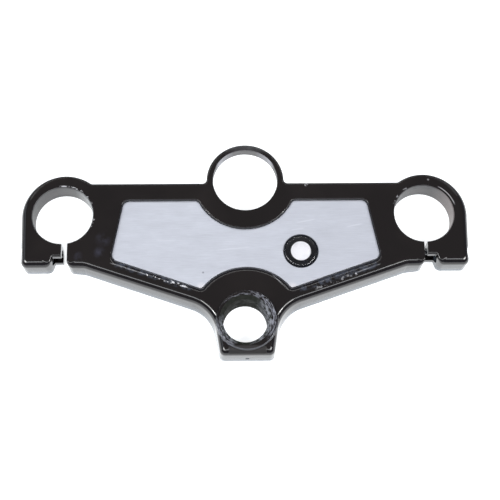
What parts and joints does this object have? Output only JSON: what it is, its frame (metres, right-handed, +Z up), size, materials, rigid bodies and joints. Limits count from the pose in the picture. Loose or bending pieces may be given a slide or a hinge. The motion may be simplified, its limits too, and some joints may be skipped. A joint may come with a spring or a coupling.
{
  "type": "handlebar top clamp",
  "caption": "Wide arrow-shaped fork top clamp with split tube clamps at its ends, a stem boss at its tip, a lock ring behind and a brushed plate in its top.",
  "frame": {"origin": "on the steering stem bore's axis, in the plane of the underside", "axes": "+Z up along the bores, +Y from the stem bore to the lock ring, +X to the right fork clamp"},
  "size_m": [0.2474, 0.1219, 0.016],
  "materials": {
    "black_casting": "gloss black paint",
    "brushed_plate": "brushed",
    "badge_foil": "gloss print",
    "badge_dome": "clear resin"
  },
  "bodies": {
    "root": {"yoke_casting": "black_casting", "inlay_plate": "brushed_plate", "badge_foil": "badge_foil", "badge_dome": "badge_dome"}
  },
  "joints": []
}
